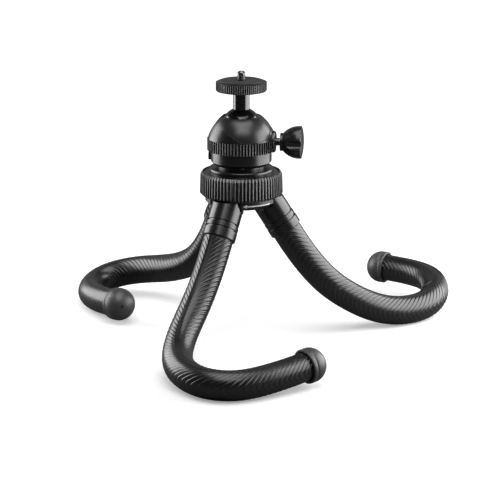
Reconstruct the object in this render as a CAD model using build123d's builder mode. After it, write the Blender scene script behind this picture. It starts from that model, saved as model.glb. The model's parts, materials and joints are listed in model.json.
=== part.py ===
"""Flexible leg tripod with a ball head, in millimetres, +Z up.

The origin is the centre of the camera seat. Heights are measured down from it, so they are
negative. Azimuths are turned about Z from +X, anticlockwise seen from above.
"""
from build123d import *
from bisect import bisect_left
from math import acos, cos, degrees, pi, radians, sin, sqrt
import os

# Whole object
seat_height = 199.6
overrun = 2.0
running_gap = 0.1
seat_gap = 0.05
part_gap = 0.3
circle_turn = 360.0
tooth_corner_shares = (0.0, 0.42, 0.58, 0.84)

# Camera plate, its pad and its screw
plate_radius = 19.3
plate_thickness = 7.9
plate_rim_drop = 0.4
plate_bevel = 0.9
plate_bevel_width = 2.2
plate_teeth = 72
plate_tooth_depth = 0.55
plate_foot_chamfer = 0.5
pad_radius = 16.2
pad_thickness = 1.2
plate_web = 3.3
plate_chamber_radius = 6.0
camera_thread_radius = 3.175
camera_thread_pitch = 1.27
camera_thread_depth = 0.55
camera_thread_crest = 0.5
camera_screw_height = 6.9
camera_screw_tip = 0.5
camera_head_radius = 7.0
camera_head_thickness = 1.5

# Ball, its neck and the clip that holds the plate on it
ball_radius = 15.2
ball_drop = 35.7
neck_radius = 6.25
stub_radius = 4.0
stub_top_drop = 3.2
clip_thickness = 0.8
clip_radius = 5.4
clip_groove_depth = 0.5
clip_slot = 3.0

# Ball seat and the head's housing
seat_wall = 1.7
seat_rim_latitude = -26.0
seat_hole_radius = 6.0
cavity_step_latitude = 8.0
dome_radius = 25.5
dome_drop = 47.8
dome_top_drop = 27.3
dome_lip_round = 1.0
housing_foot_drop = 53.1
housing_hole_radius = 8.0
notch_azimuth = 172.0
knob_azimuth = notch_azimuth - circle_turn / 2

# Knurled band with its three waves
band_radius = 25.9
band_wall = 1.5
band_top_drop = 35.5
band_knurl_top_drop = 44.1
band_trough_drop = 43.7
band_teeth = 70
band_tooth_depth = 0.7
wave_count = 3
wave_shoulder_share = 0.62
wave_shoulder_rise_share = 0.2

# Head base, its screws and the pan screw
base_radius = 23.1
base_foot_drop = 64.0
base_foot_chamfer = 2.4
base_floor = 4.0
base_bore_radius = 12.0
base_screw_circle = 18.4
base_screw_count = 3
base_screw_turn = 40.0
base_screw_radius = 1.5
base_screw_head_radius = 2.8
base_screw_head = 1.8
base_screw_grip = 6.0
pan_screw_radius = 3.4
pan_screw_proud = 1.8
pan_screw_thread_radius = 2.0
pan_screw_drop = 58.4
pan_screw_seat_reach = 18.0
pan_screw_slot = 0.9

# Pan bolt and washer
pan_bolt_radius = 3.0
pan_bolt_head_radius = 5.5
pan_bolt_head = 3.0
pan_bolt_head_sides = 6
pan_bolt_grip = 11.0
pan_washer_radius = 8.0
pan_washer_thickness = 0.6

# Clamp knob, screw, boss and pad
clamp_drop = 46.5
boss_radius = 8.3
boss_face_reach = 26.2
boss_seat_reach = 18.9
boss_chamfer = 0.9
clamp_screw_radius = 3.0
clamp_thread_pitch = 1.0
clamp_thread_depth = 0.35
clamp_thread_crest = 0.34
clamp_pad_radius = 2.9
knob_reach = 29.9
knob_length = 17.6
knob_foot_radius = 6.9
knob_radius = 12.4
knob_dome = 1.6
knob_foot_land_share = 0.12
knob_flank_share = 0.55
knob_flank_rise_share = 0.88
knob_shoulder_share = 0.82
knob_flutes = 3
knob_flute_radius = 3.4
knob_flute_depth = 3.1
knob_screw_grip = 9.0

# Collar, lock ring and hub
collar_boss_radius = 18.0
collar_top_drop = 66.6
collar_lip_radius = 24.6
collar_lip_round = 1.2
collar_dish_drop = 69.9
collar_radius = 28.9
collar_edge_drop = 70.8
hub_top_drop = 71.8
ring_top_drop = 69.9
ring_foot_drop = 87.9
ring_radius = 31.2
ring_foot_radius = 31.7
ring_top_chamfer = 2.2
ring_top_chamfer_width = 1.4
ring_foot_chamfer = 2.0
ring_teeth = 72
ring_tooth_depth = 0.8
ring_recess_radius = 29.2
ring_step_drop = 79.9
hub_upper_radius = 26.5
hub_radius = 27.5
hub_foot_drop = 95.1
hub_foot_chamfer = 3.2
hub_well_radius = 5.8
hub_well_depth = 10.0
hub_cover_radius = 6.5
hub_cover_thickness = 1.4
hub_cover_spigot = 3.0
hub_screw_circle = 20.5
hub_screw_radius = 1.5
hub_screw_head_radius = 2.8
hub_screw_head = 1.8
hub_screw_grip = 3.5
arrow_drop = 91.3
arrow_height = 0.9
arrow_head_height = 2.9
arrow_relief = 0.3
arrow_from = 272.0
arrow_to = 321.0
arrow_head_turn = 7.0

# Legs: hinge, straight upper run, route
leg_azimuths = (240.0, 0.0, 120.0)
hinge_reach = 15.5
hinge_drop = 97.8
leg_tilt = 32.2
axis_offset = 6.4
straight_run = 30.0
bend_lead = 36.0
foot_reach = 160.0
rest_height = 10.55
lug_radius = 3.4
lug_width = 8.0
hinge_pin_radius = 1.5

# Ferrules
ferrule_radii = (12.3, 12.5, 12.7)
ferrule_grooves = (13.0, 17.6)
ferrule_groove_width = 1.5
ferrule_groove_depth = 0.9
ferrule_length = 25.2
ferrule_chamfer = 0.6
ferrule_seat = 4.0
ferrule_chamber = 12.0
tab_reach = 23.5
tab_gap = 0.5
hinge_cut = 2.2
lug_slot_side = 0.3

# Link chain inside each leg
chain_start = 19.0
chain_end_setback = 7.0
joint_count = 4
links_between = 4
link_ball_radius = 4.0
link_neck_radius = 2.2
link_wall = 1.3
link_mouth = 1.2

# Rubber sleeves
sleeve_radius = 11.35
sleeve_end_radius = 10.6
sleeve_bore = 6.2
taper_start_share = 0.55
zone_latitude = 36.0
zone_bore = 9.0
cup_latitude = 27.5
sleeve_stations = 10

# Foot caps
cap_radius = 12.85
cap_skirt = 4.6
cap_seat = 1.0
cap_rim_chamfer = 0.5
cap_dome_share = 0.93
vent_radius = 0.9
vent_depth = 2.0
vent_offset = 4.2

# Control points of the three routes, from the end of the straight run on. Reach along the
# leg's azimuth and to its left are shares of foot_reach, and the height is a share of the
# leg root's height over its rest height.
front_route_shares = (
    (0.545, -0.010, 0.135),
    (0.745, 0.080, 0.015),
    (0.875, 0.240, 0.005),
    (0.900, 0.420, -0.003),
    (0.770, 0.540, 0.000),
    (0.515, 0.650, 0.055),
)
right_route_shares = (
    (0.510, 0.045, 0.180),
    (0.720, 0.115, -0.005),
    (0.945, 0.240, -0.005),
    (1.000, 0.435, 0.105),
    (0.920, 0.605, 0.110),
    (0.725, 0.700, 0.120),
)
left_route_shares = (
    (0.580, 0.020, 0.200),
    (0.815, 0.085, 0.125),
    (0.950, 0.225, 0.055),
    (0.900, 0.390, -0.005),
    (0.700, 0.465, -0.005),
    (0.450, 0.435, 0.050),
)
route_shares = (front_route_shares, right_route_shares, left_route_shares)
leg_names = ("front", "right", "left")

floor_level = -seat_height
leg_pitch = circle_turn / len(leg_azimuths)


# Directions and planes

def radial(azimuth):
    """Unit vector that points outward at an azimuth."""
    return Vector(cos(radians(azimuth)), sin(radians(azimuth)), 0)


def sideways(azimuth):
    """Unit vector a quarter turn anticlockwise from the azimuth."""
    return Vector(-sin(radians(azimuth)), cos(radians(azimuth)), 0)


up = Vector(0, 0, 1)


def side_plane(azimuth):
    """Upright plane through the head's axis: x is the reach, y is the height."""
    return Plane(origin=(0, 0, 0), x_dir=radial(azimuth), z_dir=radial(azimuth).cross(up))


def axis_plane(point, direction, side):
    """Plane that holds an axis: x runs along it and y is the distance from it."""
    return Plane(origin=point, x_dir=direction, z_dir=side)


def polar(radius, angle):
    """Point at a radius and an angle from the x axis of a profile."""
    return (radius * cos(radians(angle)), radius * sin(radians(angle)))


def height_on(radius, reach):
    """Height over a sphere's centre at which its surface is this far from the axis."""
    return sqrt(radius**2 - reach**2)


def tooth_outline(crest, depth, count):
    """Closed outline of straight teeth around a circle, four corners to a tooth."""
    corners = []
    turn = circle_turn / count
    for tooth in range(count):
        for share, radius in zip(tooth_corner_shares, (crest, crest, crest - depth, crest - depth)):
            corners.append(polar(radius, (tooth + share) * turn))
    with BuildLine() as outline:
        Polyline(*corners, close=True)
    return outline.edges()


def finish(piece, name):
    """Label a sub-part and write its file."""
    piece.part.label = name
    export_step(piece.part, f"parts/{name}.step")


os.makedirs("parts", exist_ok=True)


# Routes of the legs

def leg_root(azimuth):
    """Point on a leg's axis beside its hinge, and the direction down its straight run."""
    tilt = radians(leg_tilt)
    direction = radial(azimuth) * sin(tilt) - up * cos(tilt)
    across = radial(azimuth) * cos(tilt) + up * sin(tilt)
    root = radial(azimuth) * hinge_reach - up * hinge_drop + across * axis_offset
    return root, direction


def knot(index, count):
    """Knot of a cubic curve that starts and ends at its first and last control points."""
    return min(max(index - 3, 0), count - 3)


def curve_point(controls, place):
    """Point of a clamped cubic B-spline; place runs from 0 to its number of spans."""
    count = len(controls)
    span = min(int(place), count - 4) + 3
    points = [controls[span - 3 + index] for index in range(4)]
    for level in range(1, 4):
        for index in range(3, level - 1, -1):
            low = knot(span - 3 + index, count)
            high = knot(span + 1 + index - level, count)
            part = (place - low) / (high - low)
            points[index] = points[index - 1] * (1 - part) + points[index] * part
    return points[3]


class Route:
    """A leg's centre line, with its stations measured along it from the root."""

    steps_per_span = 80
    direction_run = 2.0

    def __init__(self, azimuth, shares):
        self.azimuth = azimuth
        self.root, self.down = leg_root(azimuth)
        rest_level = floor_level + rest_height
        rise = self.root.Z - rest_level
        start = self.root + self.down * straight_run
        controls = [start, start + self.down * bend_lead]
        for reach, side, height in shares:
            flat = radial(azimuth) * (reach * foot_reach) + sideways(azimuth) * (side * foot_reach)
            controls.append(flat + up * (rest_level + height * rise))
        spans = len(controls) - 3
        steps = spans * self.steps_per_span
        self.points = [curve_point(controls, spans * step / steps) for step in range(steps + 1)]
        self.lengths = [straight_run]
        for before, after in zip(self.points, self.points[1:]):
            self.lengths.append(self.lengths[-1] + (after - before).length)
        self.length = self.lengths[-1]
        self.chain_end = self.length - chain_end_setback
        self.link_pitch = (self.chain_end - chain_start) / ((joint_count + 1) * links_between)
        self.last_ball = self.curve(self.chain_end)
        self.last_direction = (self.last_ball - self.curve(self.chain_end - self.direction_run)).normalized()

    def curve(self, station):
        """Point of the curved part of the centre line."""
        index = bisect_left(self.lengths, station)
        before, after = self.lengths[index - 1], self.lengths[index]
        part = (station - before) / (after - before)
        return self.points[index - 1] * (1 - part) + self.points[index] * part

    def point(self, station):
        """Point at a distance along the centre line, which starts and ends straight."""
        if station <= straight_run:
            return self.root + self.down * station
        if station >= self.chain_end:
            return self.last_ball + self.last_direction * (station - self.chain_end)
        return self.curve(station)

    def direction(self, station):
        """Unit vector along the centre line."""
        half = self.direction_run / 2
        return (self.point(station + half) - self.point(station - half)).normalized()

    def side(self, station):
        """Level unit vector square to the centre line."""
        return self.direction(station).cross(up).normalized()

    def section(self, station):
        """Plane square to the centre line, with a steady level x axis."""
        direction = self.direction(station)
        return Plane(origin=self.point(station), x_dir=self.side(station), z_dir=direction)

    def profile(self, station):
        """Plane along the centre line: x runs down the leg and y is the radius."""
        return axis_plane(self.point(station), self.direction(station), self.side(station))

    def axis(self, station):
        """Axis along the centre line at a station."""
        return Axis(self.point(station), self.direction(station))

    def joint_station(self, joint):
        """Station of a flexing joint, counted from 1; 0 is the ball in the ferrule."""
        return chain_start + joint * links_between * self.link_pitch

    def sleeve_radius(self, station):
        """Radius of the sleeve, which tapers towards the foot."""
        start = taper_start_share * self.length
        part = max(station - start, 0) / (self.length - start)
        return sleeve_radius + (sleeve_end_radius - sleeve_radius) * part


routes = [Route(azimuth, shares) for azimuth, shares in zip(leg_azimuths, route_shares)]

# Heights and reaches that several pieces share
ball_level = -ball_drop
dome_level = -dome_drop
ball_bore = ball_radius + running_gap
seat_radius = ball_bore + seat_wall
cavity_radius = seat_radius + running_gap
housing_foot = -housing_foot_drop
base_foot = -base_foot_drop
hub_top = -hub_top_drop
hub_foot = -hub_foot_drop
collar_top = -collar_top_drop
ring_foot = -ring_foot_drop
clamp_level = -clamp_drop
plate_foot = -plate_thickness
web_top = plate_foot + plate_web
neck_top = plate_foot - running_gap
clamp_origin = up * clamp_level
clamp_direction = radial(knob_azimuth)
clamp_plane = axis_plane(clamp_origin, clamp_direction, clamp_direction.cross(up))
clamp_axis = Axis(clamp_origin, clamp_direction)
clamp_side = sqrt(seat_radius**2 - (clamp_drop - ball_drop) ** 2)


# Camera plate

pad_floor = -pad_thickness
camera_head_foot = pad_floor - camera_head_thickness

with BuildPart() as camera_plate:
    with BuildSketch(Plane.XZ):
        with BuildLine():
            Polyline(
                (plate_chamber_radius, web_top),
                (plate_chamber_radius, camera_head_foot),
                (camera_head_radius + seat_gap, camera_head_foot),
                (camera_head_radius + seat_gap, pad_floor),
                (pad_radius, pad_floor),
                (pad_radius, -plate_rim_drop),
                (plate_radius - plate_bevel_width, -plate_rim_drop),
                (plate_radius, -plate_rim_drop - plate_bevel),
                (plate_radius, plate_foot + plate_foot_chamfer),
                (plate_radius - plate_foot_chamfer, plate_foot),
                (stub_radius + seat_gap, plate_foot),
                (stub_radius + seat_gap, web_top),
                close=True,
            )
        make_face()
    revolve(axis=Axis.Z)
    with BuildSketch(Plane.XY.offset(plate_foot)):
        make_face(tooth_outline(plate_radius, plate_tooth_depth, plate_teeth))
    extrude(amount=plate_thickness, mode=Mode.INTERSECT)
finish(camera_plate, "camera_plate")

with BuildPart() as plate_pad:
    with BuildSketch(Plane.XY.offset(pad_floor)):
        Circle(pad_radius - seat_gap)
        Circle(camera_thread_radius + part_gap, mode=Mode.SUBTRACT)
    extrude(amount=pad_thickness)
finish(plate_pad, "plate_pad")


def thread_points(root_level, tip_level, radius, depth, pitch, crest):
    """Zigzag of a thread drawn as rings: pairs of (radius, level) from root to tip."""
    points = []
    turns = int((tip_level - root_level) / pitch)
    for turn in range(turns):
        level = root_level + turn * pitch
        points.append((radius - depth, level))
        points.append((radius, level + (pitch - crest) / 2))
        points.append((radius, level + (pitch + crest) / 2))
    points.append((radius - depth, root_level + turns * pitch))
    return points


camera_root_radius = camera_thread_radius - camera_thread_depth

with BuildPart() as camera_screw:
    with BuildSketch(Plane.XZ):
        with BuildLine():
            Polyline(
                (0, camera_head_foot),
                (camera_head_radius, camera_head_foot),
                (camera_head_radius, pad_floor),
                (camera_root_radius, pad_floor),
                *thread_points(
                    0,
                    camera_screw_height - camera_screw_tip,
                    camera_thread_radius,
                    camera_thread_depth,
                    camera_thread_pitch,
                    camera_thread_crest,
                ),
                (camera_root_radius - camera_screw_tip, camera_screw_height),
                (0, camera_screw_height),
                close=True,
            )
        make_face()
    revolve(axis=Axis.Z)
finish(camera_screw, "camera_screw")


# Ball with its neck, and the clip in the neck's groove

groove_foot = web_top + running_gap
groove_top = groove_foot + clip_thickness + running_gap
groove_radius = stub_radius - clip_groove_depth
neck_foot = ball_level + height_on(ball_radius, neck_radius)

with BuildPart() as ball_stem:
    with BuildSketch(Plane.XZ):
        with BuildLine():
            ThreePointArc(
                (0, ball_level - ball_radius),
                (ball_radius, ball_level),
                (neck_radius, neck_foot),
            )
            Polyline(
                (neck_radius, neck_foot),
                (neck_radius, neck_top),
                (stub_radius, neck_top),
                (stub_radius, groove_foot),
                (groove_radius, groove_foot),
                (groove_radius, groove_top),
                (stub_radius, groove_top),
                (stub_radius, -stub_top_drop),
                (0, -stub_top_drop),
                (0, ball_level - ball_radius),
            )
        make_face()
    revolve(axis=Axis.Z)
finish(ball_stem, "ball_stem")

with BuildPart() as plate_clip:
    with BuildSketch(Plane.XY.offset(groove_foot)):
        Circle(clip_radius)
        Circle(groove_radius + seat_gap, mode=Mode.SUBTRACT)
        with Locations((clip_radius / 2, 0)):
            Rectangle(clip_radius, clip_slot, mode=Mode.SUBTRACT)
    extrude(amount=clip_thickness)
finish(plate_clip, "plate_clip")


# Ball seat, a cup between the ball and the housing

def cup_profile(inner, outer, low_reach, rim_latitude):
    """Wall of a spherical cup, from its hole's edge up to its rim, as a closed outline."""
    low_inner = -degrees(acos(low_reach / inner))
    low_outer = -degrees(acos(low_reach / outer))
    middle_inner = (low_inner + rim_latitude) / 2
    middle_outer = (low_outer + rim_latitude) / 2
    with BuildLine() as outline:
        ThreePointArc(polar(inner, low_inner), polar(inner, middle_inner), polar(inner, rim_latitude))
        Line(polar(inner, rim_latitude), polar(outer, rim_latitude))
        ThreePointArc(polar(outer, rim_latitude), polar(outer, middle_outer), polar(outer, low_outer))
        Line(polar(outer, low_outer), polar(inner, low_inner))
    return outline.edges()


with BuildPart() as ball_seat:
    with BuildSketch(Plane(origin=up * ball_level, x_dir=radial(0), z_dir=radial(0).cross(up))):
        make_face(cup_profile(ball_bore, seat_radius, seat_hole_radius, seat_rim_latitude))
    revolve(axis=Axis.Z)
finish(ball_seat, "ball_seat")


# Knurled band: a ring whose upper edge rises in three waves over the dome

band_inner_radius = band_radius - band_wall
wave_reach = band_radius + overrun
wave_half = band_radius * sin(pi / wave_count)


def wave_outline(rise):
    """Outline of one wave and the wall under it, seen from outside."""
    low = housing_foot - overrun
    crest = -band_top_drop + rise
    trough = -band_trough_drop + rise
    shoulder = wave_half * wave_shoulder_share
    shoulder_level = trough + (crest - trough) * wave_shoulder_rise_share
    with BuildLine() as outline:
        Spline(
            (-wave_half, trough),
            (-shoulder, shoulder_level),
            (0, crest),
            (shoulder, shoulder_level),
            (wave_half, trough),
            tangents=((1, 0), (1, 0)),
        )
        Polyline((wave_half, trough), (wave_half, low), (-wave_half, low), (-wave_half, trough))
    return outline.edges()


def wave_blocks(rise):
    """Three blocks with wavy tops, a third of a turn apart, that bound the band above."""
    outline = wave_outline(rise)
    with BuildPart() as blocks:
        for wave in range(wave_count):
            azimuth = knob_azimuth + wave * circle_turn / wave_count
            plane = Plane(origin=(0, 0, 0), x_dir=sideways(azimuth), z_dir=radial(azimuth))
            with BuildSketch(plane):
                make_face(outline)
            extrude(amount=wave_reach)
    return blocks.part


def skirt_outline(inner, outer, low, top):
    """Half section of a spherical skirt between two levels, about the dome's centre."""
    low_rise = low - dome_level
    top_rise = top - dome_level
    middle_rise = (low_rise + top_rise) / 2
    with BuildLine() as outline:
        ThreePointArc(
            (height_on(inner, low_rise), low),
            (height_on(inner, middle_rise), dome_level + middle_rise),
            (height_on(inner, top_rise), top),
        )
        Line((height_on(inner, top_rise), top), (height_on(outer, top_rise), top))
        ThreePointArc(
            (height_on(outer, top_rise), top),
            (height_on(outer, middle_rise), dome_level + middle_rise),
            (height_on(outer, low_rise), low),
        )
        Line((height_on(outer, low_rise), low), (height_on(inner, low_rise), low))
    return outline.edges()


band_knurl_top = -band_knurl_top_drop
band_top = -band_top_drop
space_inner_radius = band_inner_radius - seat_gap
knurl_inner_radius = height_on(band_inner_radius, band_knurl_top - dome_level)
waves = wave_blocks(0)
space_waves = wave_blocks(seat_gap)

with BuildPart() as band_space:
    with BuildSketch(Plane.XZ):
        make_face(skirt_outline(space_inner_radius, wave_reach, band_knurl_top, band_top + seat_gap))
    revolve(axis=Axis.Z)
    with BuildSketch(Plane.XY.offset(housing_foot)):
        Circle(wave_reach)
        Circle(knurl_inner_radius - seat_gap, mode=Mode.SUBTRACT)
    extrude(amount=band_knurl_top - housing_foot)
    add(space_waves, mode=Mode.INTERSECT)

with BuildPart() as knurled_band:
    with BuildSketch(Plane.XZ):
        make_face(skirt_outline(band_inner_radius, band_radius, band_knurl_top, band_top))
    revolve(axis=Axis.Z)
    with BuildSketch(Plane.XY.offset(housing_foot)):
        make_face(tooth_outline(band_radius, band_tooth_depth, band_teeth))
        Circle(knurl_inner_radius, mode=Mode.SUBTRACT)
    extrude(amount=band_knurl_top - housing_foot)
    add(waves, mode=Mode.INTERSECT)
    with BuildSketch(Plane(origin=clamp_origin, z_dir=clamp_direction)):
        Circle(boss_radius + seat_gap)
    extrude(amount=wave_reach, mode=Mode.SUBTRACT)
finish(knurled_band, "knurled_band")


# Housing: dome, ball cavity, drop notch and clamp bore

step_level = ball_level + cavity_radius * sin(radians(cavity_step_latitude))
dome_top = -dome_top_drop
dome_top_reach = height_on(dome_radius, dome_top - dome_level)
notch_half = neck_radius + part_gap
notch_direction = radial(notch_azimuth)
base_screw_azimuth = knob_azimuth + base_screw_turn

with BuildPart() as head_housing:
    with BuildSketch(Plane.XZ):
        with BuildLine():
            ThreePointArc(
                (dome_top_reach, dome_top),
                (height_on(dome_radius, (dome_top - dome_level) / 2), (dome_top + dome_level) / 2),
                (dome_radius, dome_level),
            )
            Polyline(
                (dome_radius, dome_level),
                (dome_radius, housing_foot),
                (0, housing_foot),
                (0, dome_top),
                (dome_top_reach, dome_top),
            )
        make_face()
    revolve(axis=Axis.Z)
    fillet(faces().sort_by(Axis.Z)[-1].edges(), dome_lip_round)
    with Locations((0, 0, ball_level)):
        Sphere(ball_bore, mode=Mode.SUBTRACT)
    with BuildSketch(Plane.XZ):
        with BuildLine():
            ThreePointArc(
                (0, ball_level - cavity_radius),
                (cavity_radius, ball_level),
                (height_on(cavity_radius, step_level - ball_level), step_level),
            )
            Polyline(
                (height_on(cavity_radius, step_level - ball_level), step_level),
                (0, step_level),
                (0, ball_level - cavity_radius),
            )
        make_face()
    revolve(axis=Axis.Z, mode=Mode.SUBTRACT)
    with BuildSketch(Plane.XY.offset(housing_foot)):
        Circle(housing_hole_radius)
    extrude(amount=ball_level - housing_foot, mode=Mode.SUBTRACT)
    add(band_space.part, mode=Mode.SUBTRACT)
    notch_plane = Plane(origin=up * ball_level, x_dir=sideways(notch_azimuth), z_dir=notch_direction)
    with BuildSketch(notch_plane):
        Circle(notch_half)
        with Locations((0, (dome_top - ball_level) / 2 + overrun)):
            Rectangle(2 * notch_half, dome_top - ball_level + 2 * overrun)
    extrude(amount=dome_radius + overrun, mode=Mode.SUBTRACT)
    with BuildSketch(Plane(origin=clamp_origin, z_dir=clamp_direction)):
        Circle(clamp_pad_radius + seat_gap)
    extrude(amount=boss_seat_reach, mode=Mode.SUBTRACT)
    with BuildSketch(Plane(origin=clamp_origin + clamp_direction * boss_seat_reach, z_dir=clamp_direction)):
        Circle(boss_radius + seat_gap)
    extrude(amount=dome_radius, mode=Mode.SUBTRACT)
    with BuildSketch(Plane.XY.offset(housing_foot)):
        with PolarLocations(base_screw_circle, base_screw_count, start_angle=base_screw_azimuth):
            Circle(base_screw_radius + seat_gap)
    extrude(amount=base_screw_grip + seat_gap, mode=Mode.SUBTRACT)
finish(head_housing, "head_housing")


# Head base, which turns on the collar

base_cavity_floor = base_foot + base_floor
pan_screw_level = -pan_screw_drop
pan_screw_direction = radial(notch_azimuth)
pan_screw_origin = up * pan_screw_level
base_height = housing_foot - base_foot

with BuildPart() as head_base:
    with BuildSketch(Plane.XY.offset(base_foot)):
        Circle(base_radius)
    extrude(amount=base_height)
    chamfer(faces().sort_by(Axis.Z)[0].edges(), base_foot_chamfer)
    with BuildSketch(Plane.XY.offset(base_cavity_floor)):
        Circle(base_bore_radius)
    extrude(amount=base_height, mode=Mode.SUBTRACT)
    with BuildSketch(Plane.XY.offset(base_foot)):
        Circle(pan_bolt_radius + seat_gap)
    extrude(amount=base_height, mode=Mode.SUBTRACT)
    with BuildSketch(Plane.XY.offset(base_foot)):
        with PolarLocations(base_screw_circle, base_screw_count, start_angle=base_screw_azimuth):
            Circle(base_screw_radius + seat_gap)
    extrude(amount=base_height, mode=Mode.SUBTRACT)
    with BuildSketch(Plane.XY.offset(base_foot)):
        with PolarLocations(base_screw_circle, base_screw_count, start_angle=base_screw_azimuth):
            Circle(base_screw_head_radius + seat_gap)
    extrude(amount=base_screw_head + seat_gap, mode=Mode.SUBTRACT)
    with BuildSketch(Plane(origin=pan_screw_origin, z_dir=pan_screw_direction)):
        Circle(pan_screw_thread_radius + seat_gap)
    extrude(amount=base_radius + overrun, mode=Mode.SUBTRACT)
    with BuildSketch(Plane(origin=pan_screw_origin + pan_screw_direction * pan_screw_seat_reach,
                           z_dir=pan_screw_direction)):
        Circle(pan_screw_radius + seat_gap)
    extrude(amount=base_radius, mode=Mode.SUBTRACT)
    with BuildSketch(Plane(origin=clamp_origin + clamp_direction * boss_seat_reach, z_dir=clamp_direction)):
        Circle(boss_radius + seat_gap)
    extrude(amount=base_radius, mode=Mode.SUBTRACT)
finish(head_base, "head_base")

with BuildPart() as base_screws:
    with BuildSketch(Plane.XY.offset(base_foot + seat_gap)):
        with PolarLocations(base_screw_circle, base_screw_count, start_angle=base_screw_azimuth):
            Circle(base_screw_head_radius)
    extrude(amount=base_screw_head)
    with BuildSketch(Plane.XY.offset(base_foot + seat_gap)):
        with PolarLocations(base_screw_circle, base_screw_count, start_angle=base_screw_azimuth):
            Circle(base_screw_radius)
    extrude(amount=base_height + base_screw_grip - seat_gap)
finish(base_screws, "base_screws")

pan_screw_seat = pan_screw_seat_reach + seat_gap
pan_screw_face = base_radius + pan_screw_proud

with BuildPart() as pan_screw:
    with BuildSketch(Plane(origin=pan_screw_origin + pan_screw_direction * pan_screw_seat,
                           z_dir=pan_screw_direction)):
        Circle(pan_screw_radius)
    extrude(amount=pan_screw_face - pan_screw_seat)
    with BuildSketch(Plane(origin=pan_screw_origin + pan_screw_direction * (base_bore_radius + seat_gap),
                           z_dir=pan_screw_direction)):
        Circle(pan_screw_thread_radius)
    extrude(amount=pan_screw_seat - base_bore_radius)
    with BuildSketch(Plane(origin=pan_screw_origin + pan_screw_direction * pan_screw_face,
                           x_dir=up, z_dir=pan_screw_direction)):
        Rectangle(2 * pan_screw_radius + overrun, pan_screw_slot)
    extrude(amount=-pan_screw_slot, mode=Mode.SUBTRACT)
finish(pan_screw, "pan_screw")


# Pan bolt and washer, fixed to the hub

washer_foot = base_cavity_floor + seat_gap
washer_top = washer_foot + pan_washer_thickness

with BuildPart() as pan_washer:
    with BuildSketch(Plane.XY.offset(washer_foot)):
        Circle(pan_washer_radius)
        Circle(pan_bolt_radius + seat_gap, mode=Mode.SUBTRACT)
    extrude(amount=pan_washer_thickness)
finish(pan_washer, "pan_washer")

with BuildPart() as pan_bolt:
    with BuildSketch(Plane.XY.offset(washer_top)):
        RegularPolygon(pan_bolt_head_radius, pan_bolt_head_sides)
    extrude(amount=pan_bolt_head)
    with BuildSketch(Plane.XY.offset(hub_top - pan_bolt_grip)):
        Circle(pan_bolt_radius)
    extrude(amount=washer_top - hub_top + pan_bolt_grip)
finish(pan_bolt, "pan_bolt")


# Clamp: boss in the housing, screw, knob and pad

with BuildPart() as knob_boss:
    with BuildSketch(clamp_plane):
        with BuildLine():
            Polyline(
                (boss_seat_reach + seat_gap, clamp_screw_radius + seat_gap),
                (boss_face_reach, clamp_screw_radius + seat_gap),
                (boss_face_reach, boss_radius - boss_chamfer),
                (boss_face_reach - boss_chamfer, boss_radius),
                (boss_seat_reach + seat_gap, boss_radius),
                close=True,
            )
        make_face()
    revolve(axis=clamp_axis)
finish(knob_boss, "knob_boss")

pad_face = clamp_side + running_gap
pad_back = boss_seat_reach

with BuildPart() as clamp_pad:
    with BuildSketch(clamp_plane):
        with BuildLine():
            Polyline(
                (pad_face, 0),
                (pad_back, 0),
                (pad_back, clamp_pad_radius),
                (pad_face, clamp_pad_radius),
                close=True,
            )
        make_face()
    revolve(axis=clamp_axis)
    with Locations((0, 0, ball_level)):
        Sphere(seat_radius + running_gap, mode=Mode.SUBTRACT)
finish(clamp_pad, "clamp_pad")

screw_start = pad_back + seat_gap
thread_end = knob_reach - seat_gap
knob_bore = clamp_screw_radius - clamp_thread_depth

with BuildPart() as clamp_screw:
    with BuildSketch(clamp_plane):
        with BuildLine():
            Polyline(
                (screw_start, 0),
                *[
                    (level, radius)
                    for radius, level in thread_points(
                        screw_start,
                        thread_end,
                        clamp_screw_radius,
                        clamp_thread_depth,
                        clamp_thread_pitch,
                        clamp_thread_crest,
                    )
                ],
                (knob_reach + knob_screw_grip, knob_bore),
                (knob_reach + knob_screw_grip, 0),
                close=True,
            )
        make_face()
    revolve(axis=clamp_axis)
finish(clamp_screw, "clamp_screw")

knob_end = knob_reach + knob_length
knob_flank = knob_reach + knob_length * knob_flank_share
knob_shoulder = knob_reach + knob_length * knob_shoulder_share
knob_land_end = knob_reach + knob_length * knob_foot_land_share
knob_flank_radius = knob_foot_radius + (knob_radius - knob_foot_radius) * knob_flank_rise_share
flute_circle = knob_radius + knob_flute_radius - knob_flute_depth

with BuildPart() as clamp_knob:
    with BuildSketch(clamp_plane):
        with BuildLine():
            Polyline(
                (knob_reach + knob_screw_grip + seat_gap, 0),
                (knob_reach + knob_screw_grip + seat_gap, knob_bore + seat_gap),
                (knob_reach, knob_bore + seat_gap),
                (knob_reach, knob_foot_radius),
                (knob_land_end, knob_foot_radius),
            )
            ThreePointArc(
                (knob_land_end, knob_foot_radius),
                (knob_flank, knob_flank_radius),
                (knob_shoulder, knob_radius),
            )
            Line((knob_shoulder, knob_radius), (knob_end - knob_dome, knob_radius))
            ThreePointArc(
                (knob_end - knob_dome, knob_radius),
                (knob_end - knob_dome / 4, knob_radius / 2),
                (knob_end, 0),
            )
            Line((knob_end, 0), (knob_reach + knob_screw_grip + seat_gap, 0))
        make_face()
    revolve(axis=clamp_axis)
    flute_plane = Plane(
        origin=clamp_origin + clamp_direction * knob_land_end,
        x_dir=clamp_direction.cross(up),
        z_dir=clamp_direction,
    )
    with BuildSketch(flute_plane):
        with PolarLocations(flute_circle, knob_flutes):
            Circle(knob_flute_radius)
    extrude(amount=knob_length, mode=Mode.SUBTRACT)
finish(clamp_knob, "clamp_knob")


# Collar on top of the hub

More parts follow.
